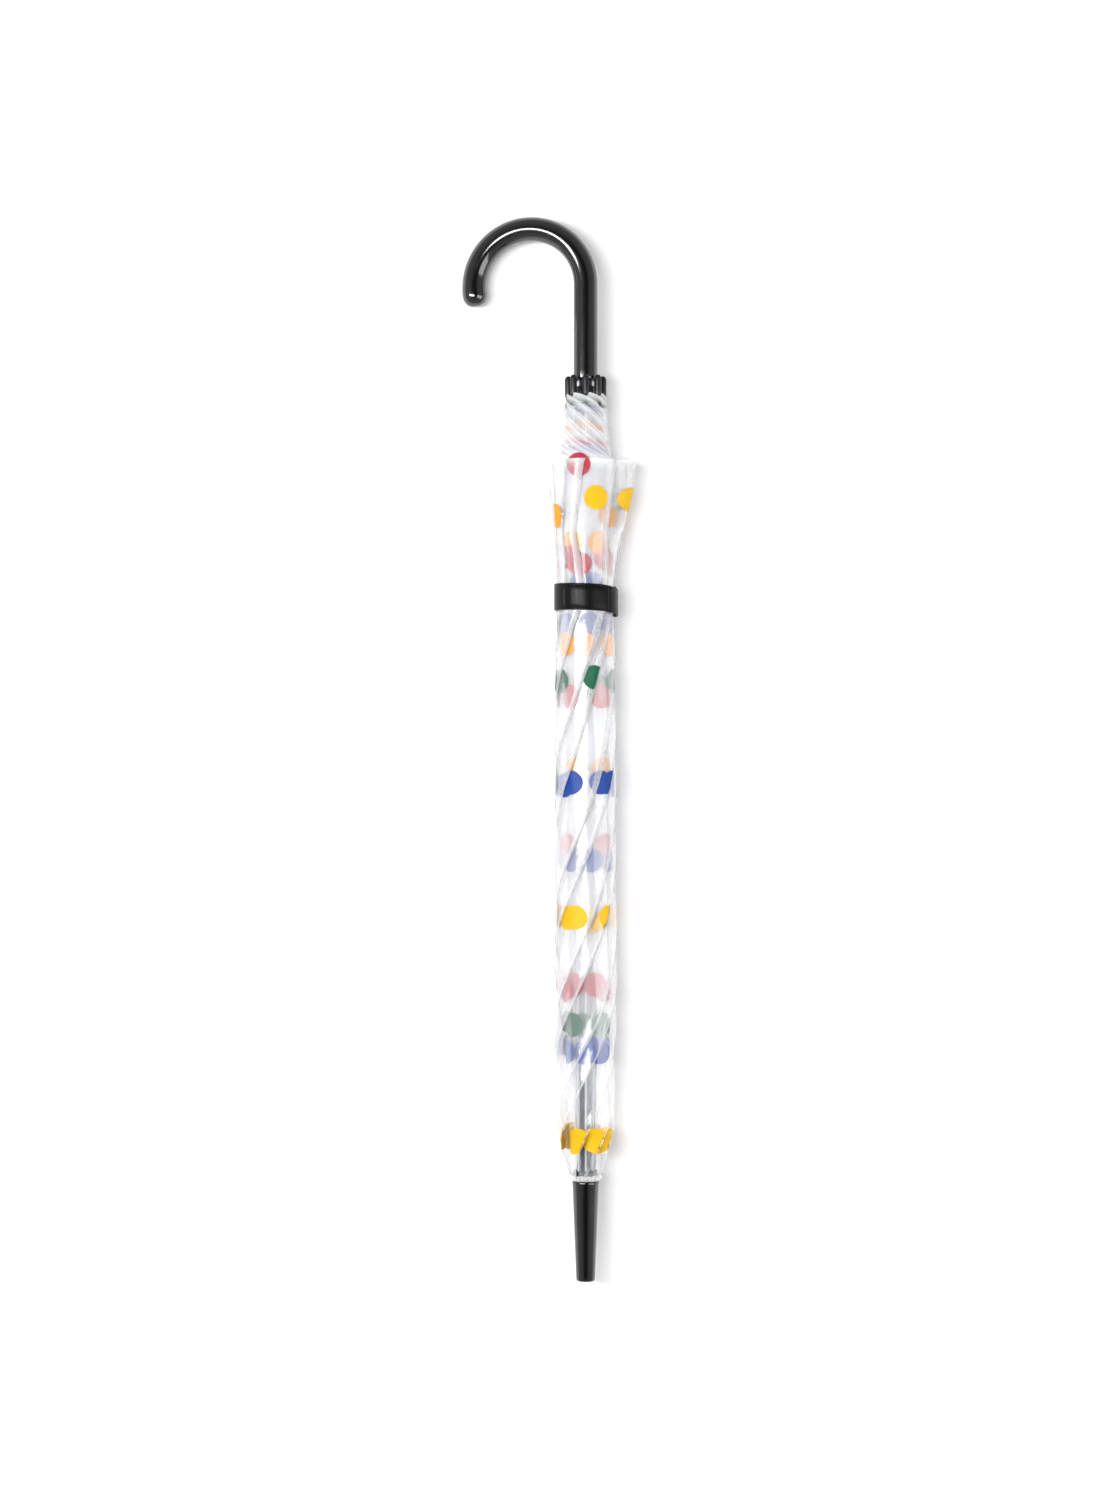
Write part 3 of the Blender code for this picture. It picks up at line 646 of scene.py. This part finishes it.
def dome_sheet(half):
    _, _, _, _, start, end = PIVOTS[half]
    start = max(start, 0.012)
    rows, columns = 34, 193
    points, weights, crease_haze_and_highlight = [], [], []
    for i in range(rows):
        for j in range(columns):
            delta = -math.pi + TAU * j / (columns - 1)
            u = abs(((delta - math.pi / 2) / LAYER_STEP) % 1.0 - 0.5) * 2
            last = end
            if half == "outer":
                last = end + math.radians(0.6) - math.radians(2.6) * smooth(0.0, 1.0, 1 - u)
            phi = start + (last - start) * i / (rows - 1)
            rest, weight = dome_point(half, delta, phi)
            points.append(rest)
            weights.append(weight)
            hem = math.exp(-((last - phi) / 0.006) ** 2) if half == "outer" else 0.0
            # Crease weight: more milky haze along the ribs' meridians and at the outer hem. This is partly
            # real whitening of the creased film and partly a painted highlight where these folds catch the
            # light.
            crease_haze_and_highlight.append(min(1.0, 0.6 * math.exp(-((1 - u) / 0.03) ** 2) + 0.6 * hem))
    ob = mesh_object(f"canopy_open_{half}", points, grid_faces(rows, columns))
    add_attribute(ob, "crease_haze_and_highlight", crease_haze_and_highlight)
    add_attribute(ob, "outer", [1.0] * len(points))
    return paint(ob, DOME_FILM), weights


def spread(ob, half, weights):
    """Bakes the piece's place into its mesh and hands the weights for each point to set_blend."""
    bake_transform(ob)
    set_blend(ob, weights)


for half in ("inner", "outer"):
    ob, weights = dome_sheet(half)
    spread(ob, half, weights)
    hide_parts(*PLEATS[half])

OPEN_RINGS = [
    ("yellow", 0.045), ("blue", 0.100), ("green", 0.128), ("red", 0.158), ("yellow", 0.205), ("blue", 0.250),
    ("amber", 0.322), ("blue", 0.352), ("red", 0.390), ("green", 0.420), ("amber", 0.452), ("blue", 0.482),
    ("red", 0.515), ("yellow", 0.550), ("amber", 0.585),
]  # fmt: skip
open_dots = Patches()
for index, (colour, s) in enumerate(OPEN_RINGS):
    phi = s / FILM_R
    half = "inner" if phi < HALF_ARC else "outer"
    around = dome_profile(phi)[0]
    per_gore = max(1, round(TAU * around / RIBS / 0.052))
    count = per_gore * RIBS
    for k in range(count):
        centre = -math.pi + TAU * (k + 0.5 + 0.25 * (index % 2)) / count
        if abs(centre) > math.pi - DOT * 1.1 / around:
            continue
        weights = []

        def surface(across, along):
            rest, weight = dome_point(half, centre + across / around, phi + along / FILM_R, 0.0004)
            weights.append(weight)
            return rest

        points, faces = dot_disc(surface, rings=2, sides=18)
        open_dots.add(f"open_{half}_{colour}", points, faces, weights)
for name, (points, faces, weights) in open_dots.made.items():
    ob = mesh_object(name, points, faces)
    paint(ob, INKS[name.split("_")[2]])
    spread(ob, name.split("_")[1], weights)


# ---------------------------------------------------------------- ribs


def bar(centres, sides_at, name):
    """A bar with closed ends: each of its centres carries a closed section."""
    points = [p for c in centres for p in sides_at(c)]
    count = len(sides_at(centres[0]))
    faces = grid_faces(len(centres), count, closed=True)
    faces.append(tuple(range(count)))
    faces.append(tuple(reversed(range(len(points) - count, len(points)))))
    return mesh_object(name, points, faces)


RIB_WIDTH = 0.0014
INNER_LEAN = math.asin(0.004 / SEGMENT)
OUTER_LEAN = math.asin(0.0022 / SEGMENT)
ELBOW = (0.011, PIVOT_T + SEGMENT * math.cos(INNER_LEAN))


def rib_frame(n, base, lean):
    """Maps (out, along, side) from a rib's own line into the row frame."""
    azimuth = TAU * n / RIBS
    radial = Vector((math.cos(azimuth), 0, math.sin(azimuth)))
    side = Vector((math.sin(azimuth), 0, -math.cos(azimuth)))
    up = Vector((0, 1, 0))
    along = up * math.cos(lean) + radial * math.sin(lean)
    out = radial * math.cos(lean) - up * math.sin(lean)
    origin = Vector((AX, AY, AZ)) + radial * base[0] + up * base[1]
    return lambda o, a, s: origin + out * o + along * a + side * s


def rib_piece(name, to_row, start, end, height, weight):
    """One flat bar of a rib; weight(a) is a share for each station, handed to set_blend."""
    edge = 0.0003
    h, w = height / 2, RIB_WIDTH / 2
    outline = [(-h, -w + edge), (-h, w - edge), (-h + edge, w), (h - edge, w)]
    outline += [(-o, -s) for o, s in outline]
    steps = 36
    stations = [start + (end - start) * k / steps for k in range(steps + 1)]
    ob = bar(stations, lambda a: [to_row(o, a, s) for o, s in outline], name)
    for p in ob.data.polygons:
        p.use_smooth = False
    paint(ob, RIB_STEEL)
    weights = [weight(a) for a in stations for _ in outline]
    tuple(to_row(0, start, 0))
    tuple(to_row(0, end, 0))
    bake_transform(ob)
    set_blend(ob, weights)
    return ob


def inner_weight(a):
    """The share that lays the bar on the dome's arc, a from the crown's wire."""
    chord = min(1.0, max(0.0, a) / (2 * R))
    return (90 - math.degrees(math.asin(chord)) - math.degrees(INNER_LEAN)) / RIB_SWING


def outer_weight(a):
    """The share that lays the bar on the dome's arc, a from the elbow."""
    return 0.5 + 2 * math.asin(min(1.0, max(0.0, a) / (2 * R))) / (2 * HALF_ARC)


for n in range(RIBS):
    number = n + 1
    inner, outer = f"rib_inner_{number}", f"rib_outer_{number}"
    to_row = rib_frame(n, (PIVOT_R, PIVOT_T), INNER_LEAN)
    name = f"rib_inner_bar_{number}"
    inner_rib = rib_piece(name, to_row, 0.003, SEGMENT - 0.004, 0.0020, inner_weight)
    to_row = rib_frame(n, ELBOW, OUTER_LEAN)
    name = f"rib_outer_bar_{number}"
    outer_rib = rib_piece(name, to_row, 0.0015, SEGMENT - 0.003, 0.0016, outer_weight)
    keep_node(inner, RIB_STEEL)
    keep_node(outer, RIB_STEEL)
    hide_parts(inner)
    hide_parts(outer)
    keep_node(f"stretcher_{number}", RIB_STEEL)


# ---------------------------------------------------------------- tip caps


def turned_piece(name, outline, sides, to_row):
    """A lathe-turned piece. outline is (radius, along) pairs."""
    points, faces = [], []
    for r, a in outline:
        for k in range(sides):
            b = TAU * k / sides
            points.append(to_row(r * math.cos(b), a, r * math.sin(b)))
    faces = grid_faces(len(outline), sides, closed=True)
    faces.append(tuple(reversed(range(sides))))
    faces.append(tuple(range(len(points) - sides, len(points))))
    return mesh_object(name, points, faces)


CAP_OUTLINE = [
    (0.0021, 0.0), (0.0026, 0.0004), (0.0027, 0.0010), (0.0027, 0.0021), (0.0025, 0.0026),
    (0.00205, 0.0030), (0.00185, 0.0042), (0.00182, 0.0062), (0.0020, 0.0075), (0.0024, 0.0082),
    (0.00265, 0.0092), (0.00272, 0.0110), (0.00275, 0.0200), (0.0026, 0.0217), (0.0021, 0.0230),
    (0.0012, 0.0238), (0.0004, 0.0240),
]  # fmt: skip
CAP_MOUTH = SEGMENT - 0.005
for n in range(RIBS):
    number = n + 1
    to_row = rib_frame(n, ELBOW, OUTER_LEAN)
    cap = turned_piece(f"cap_{number}", CAP_OUTLINE, 22, lambda o, a, s: to_row(o, a + CAP_MOUTH, s))
    paint(cap, SATIN_BLACK)
    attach(cap, f"rib_outer_{number}")
    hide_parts(f"tip_cap_{number}")


# ---------------------------------------------------------------- ferrule, handle, shaft parts


def on_axis(o, a, s):
    return Vector((AX + o, AY + a, AZ + s))


FERRULE_OUTLINE = [
    (0.0049, -0.0765), (0.0051, -0.0772), (0.0064, -0.0774), (0.0070, -0.0770), (0.0073, -0.0762),
    (0.0074, -0.0740), (0.0078, -0.0630), (0.0087, -0.0400), (0.0096, -0.0170), (0.0101, -0.0048),
    (0.0103, -0.0030), (0.0104, -0.0016), (0.0103, -0.0008), (0.0099, -0.0003),
]  # fmt: skip
ferrule = turned_piece("ferrule_body", FERRULE_OUTLINE, 56, on_axis)
paint(ferrule, GLOSS_BLACK)
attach(ferrule, "shaft")
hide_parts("ferrule")

HANDLE_R, HANDLE_FOOT = 0.00925, 0.6153
HOOK_R, HOOK_SWEEP = 0.0438, math.radians(188)
HOOK_ROLL = math.asin((AZ - HANDLE_R) / (2 * HOOK_R))


def handle_route():
    """(x, along, angle, radius share) down the handle's centre line."""
    route = [(0, HANDLE_FOOT + up, 0, share) for up, share in ((0, 0.80), (0.0003, 0.92), (0.0012, 0.985))]
    route += [(0, HANDLE_FOOT + 0.0025 + 0.0715 * k / 12, 0, 1.0) for k in range(13)]
    bend = HANDLE_FOOT - 0.0003 + 0.075
    steps = 72
    for k in range(steps + 1):
        a = HOOK_SWEEP * k / steps
        swell = 1 + 0.018 * smooth(0.93, 0.98, k / steps)
        route.append((HOOK_R * (math.cos(a) - 1), bend + HOOK_R * math.sin(a), a, swell))
    x, y, a, swell = route[-1]
    for k in range(1, 13):
        b = math.radians(7.3 * k)
        ahead = HANDLE_R * math.sin(b) * 0.98
        route.append((x - ahead * math.sin(a), y + ahead * math.cos(a), a, swell * math.cos(b) ** 0.8))
    return route


def make_handle():
    sides = 48
    points = []
    roll = Matrix.Rotation(-HOOK_ROLL, 4, "Y")
    for x, y, a, share in handle_route():
        for k in range(sides):
            b = TAU * k / sides
            out = HANDLE_R * share * math.cos(b)
            p = roll @ Vector((x + out * math.cos(a), y + out * math.sin(a), HANDLE_R * share * math.sin(b)))
            points.append(on_axis(*p))
    faces = grid_faces(len(points) // sides, sides, closed=True)
    faces.append(tuple(reversed(range(sides))))
    faces.append(tuple(range(len(points) - sides, len(points))))
    ob = mesh_object("handle_crook", points, faces)
    paint(ob, GLOSS_BLACK)
    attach(ob, "shaft")
    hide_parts("handle")


make_handle()
keep_node("shaft_tube", SHAFT_STEEL)
keep_node("crown", SATIN_BLACK)
keep_node("runner", SATIN_BLACK)
keep_node("rib_wire", BRIGHT)
keep_node("stretcher_wire", BRIGHT)
keep_node("closed_catch", BRIGHT)
keep_node("open_catch", BRIGHT)


def make_gather():
    """The film's crumpled rim, pinched under the ferrule."""
    rows, columns = 9, 144
    points, crease_haze_and_highlight = [], []
    for i in range(rows):
        v = i / (rows - 1)
        for j in range(columns):
            a = TAU * j / columns
            # Crease weight: milky haze that follows the crumples round the rim. This is partly real whitening
            # of the crumpled film and partly a painted highlight on the crumples that catch the light.
            crease_haze_and_highlight.append(0.1 + 0.5 * abs(math.sin(13 * a)))
            crumple = 0.5 * math.sin(13 * a + 2 * v) + 0.35 * math.sin(29 * a - 3 * v)
            crumple += 0.2 * math.sin(47 * a + 5 * v)
            radius = 0.0111 + 0.0016 * math.sin(math.pi * v) + 0.0006 * crumple * (0.4 + v)
            points.append(place(radius, a, 0.0002 + 0.0042 * v + 0.0004 * crumple * v))
    ob = mesh_object("film_gather", points, grid_faces(rows, columns, closed=True))
    add_attribute(ob, "crease_haze_and_highlight", crease_haze_and_highlight)
    add_attribute(ob, "outer", [1.0] * len(points))
    paint(ob, HEM_FILM)
    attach(ob, "shaft")


make_gather()


# ---------------------------------------------------------------- strap

STRAP_T, STRAP_HALF, STRAP_THICK = 0.448, 0.0104, 0.0010
STRAP_START = math.radians(-6)
BAND, FLAP, TAIL = math.radians(222), math.radians(88), math.radians(82)
WAIST, SPIRAL = 0.0223, 0.0015


def strap_radius(swept):
    return WAIST + 0.0003 + SPIRAL * swept / TAU


STRAP_SECTION = [  # (in to out, across): rounded edges and a line of stitching just inside them
    (0.0, -0.92), (0.0, 0.92), (0.25, 0.985), (0.6, 1.0), (0.92, 0.985), (1.0, 0.95), (1.0, 0.90),
    (0.86, 0.875), (1.0, 0.85), (1.03, 0.45), (1.05, 0.0), (1.03, -0.45), (1.0, -0.85), (0.86, -0.875),
    (1.0, -0.90), (1.0, -0.95), (0.92, -0.985), (0.6, -1.0), (0.25, -0.985),
]  # fmt: skip


def strap_part(name, start, sweep, body, node, end_round=False):
    steps = max(12, int(math.degrees(sweep) / 2.5))
    points = []
    for k in range(steps + 1):
        swept = start + sweep * k / steps
        a = STRAP_START - swept
        half = STRAP_HALF
        if end_round:
            left = (1 - k / steps) * sweep * WAIST
            half *= math.sqrt(max(0.0, 1 - max(0.0, 1 - left / 0.006) ** 2)) * 0.45 + 0.55
        slant = -0.0008 * math.cos(a) - 0.0030 * smooth(BAND + FLAP * 0.6, BAND + FLAP + TAIL * 0.8, swept)
        for depth, across in STRAP_SECTION:
            r = strap_radius(swept) + STRAP_THICK * (0.06 + 0.88 * depth)
            points.append(place(r, a, STRAP_T + slant + half * 0.98 * across))
    count = len(STRAP_SECTION)
    faces = grid_faces(steps + 1, count, closed=True)
    faces.append(tuple(reversed(range(count))))
    faces.append(tuple(range(len(points) - count, len(points))))
    ob = mesh_object(name, points, faces)
    paint(ob, VINYL)
    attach(ob, body)
    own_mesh(ob)
    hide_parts(node)
    return ob


slit = 0.0003 / WAIST
strap_part("strap_band_vinyl", 0, BAND - slit, "rib_outer_3", "strap_band")
strap_part("strap_flap_vinyl", BAND, FLAP - slit, "strap_flap", "strap_flap")
strap_part("strap_tail_vinyl", BAND + FLAP, TAIL, "strap_tail", "strap_tail", True)

SNAP_SWEPT = BAND + FLAP + TAIL - math.radians(14)
SNAP_AZIMUTH = STRAP_START - SNAP_SWEPT
SNAP_SEAT = WAIST + STRAP_THICK + 0.0006 + SPIRAL * SNAP_SWEPT / TAU


def on_snap(o, a, s):
    radial = Vector((math.cos(SNAP_AZIMUTH), 0, math.sin(SNAP_AZIMUTH)))
    side = Vector((-math.sin(SNAP_AZIMUTH), 0, math.cos(SNAP_AZIMUTH)))
    return Vector((AX, AY + STRAP_T, AZ)) + radial * (SNAP_SEAT + a) + side * o + Vector((0, 1, 0)) * s


SNAP_OUTLINE = [
    (0.0044, 0.0), (0.0045, 0.0002), (0.0045, 0.0005), (0.0041, 0.0008), (0.0036, 0.0009), (0.0034, 0.00075),
    (0.0030, 0.00075), (0.0026, 0.00095), (0.0018, 0.0011), (0.0008, 0.00118), (0.0002, 0.0012),
]  # fmt: skip
snap = turned_piece("snap_stud", SNAP_OUTLINE, 30, on_snap)
paint(snap, SNAP_METAL)
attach(snap, "strap_tail")
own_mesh(snap)
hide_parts("snap_cap")


# ---------------------------------------------------------------- floor, light, camera

floor_nodes = Nodes("floor_paper")
paper = floor_nodes.noise(6, 3.0)
floor_colour = floor_nodes.mix_colour(paper, (0.86, 0.86, 0.865, 1), (0.88, 0.88, 0.885, 1))
floor_paint = floor_nodes.add("ShaderNodeBsdfPrincipled", {"Base Color": floor_colour, "Roughness": 0.8})
FLOOR = floor_nodes.finish(floor_paint)
FLOOR_Z = -0.0002
corners = [(x, y, FLOOR_Z) for x, y in ((-4, -4), (4, -4), (4, 4), (-4, 4))]
floor = mesh_object("floor", corners, [(0, 1, 2, 3)])
paint(floor, FLOOR)
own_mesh(floor)


def lamp(name, position, target, size, power):
    data = bpy.data.lights.new(name, "AREA")
    data.shape = "RECTANGLE"
    data.size, data.size_y = size
    data.energy = power
    ob = bpy.data.objects.new(name, data)
    bpy.context.scene.collection.objects.link(ob)
    ob.location = position
    ob.rotation_mode = "QUATERNION"
    ob.rotation_quaternion = (Vector(target) - Vector(position)).to_track_quat("-Z", "Y")
    return ob


TARGET = (AX, 0.02, AZ)
lamp("key", (AX - 0.92, 0.15, 1.75), TARGET, (0.45, 1.7), 53)
lamp("fill", (AX + 1.5, -0.2, 1.3), TARGET, (0.9, 1.9), 23)
world = bpy.data.worlds.new("studio")
bpy.context.scene.world = world
world.use_nodes = True
sky = world.node_tree
direction = sky.nodes.new("ShaderNodeTexCoord")
split = sky.nodes.new("ShaderNodeSeparateXYZ")
ramp = sky.nodes.new("ShaderNodeValToRGB")
sky.links.new(direction.outputs["Generated"], split.inputs[0])
sky.links.new(split.outputs["Z"], ramp.inputs[0])
sky.links.new(ramp.outputs[0], sky.nodes["Background"].inputs["Color"])
stops = ((0.0, 1.7), (0.5, 1.3), (0.86, 0.8), (0.93, 0.03))
while len(ramp.color_ramp.elements) < len(stops):
    ramp.color_ramp.elements.new(0.5)
for element, (position, level) in zip(ramp.color_ramp.elements, stops):
    element.position = position
    element.color = (level, level, level * 1.01, 1)
sky.nodes["Background"].inputs["Strength"].default_value = 0.39

VIEW_HEIGHT = 1.156
DISTANCE = 2.0
camera_data = bpy.data.cameras.new("camera")
camera = bpy.data.objects.new("camera", camera_data)
bpy.context.scene.collection.objects.link(camera)
camera_data.sensor_fit = "VERTICAL"
camera_data.sensor_height = 24
camera_data.sensor_width = 24 * 1107 / 1501
camera_data.lens = 24 * DISTANCE / VIEW_HEIGHT
camera.location = (AX - 0.0247, -0.002, AZ + DISTANCE)
bpy.context.scene.camera = camera

scene = bpy.context.scene
scene.cycles.transparent_max_bounces = 96
scene.cycles.max_bounces = 12
scene.view_settings.view_transform = "Standard"
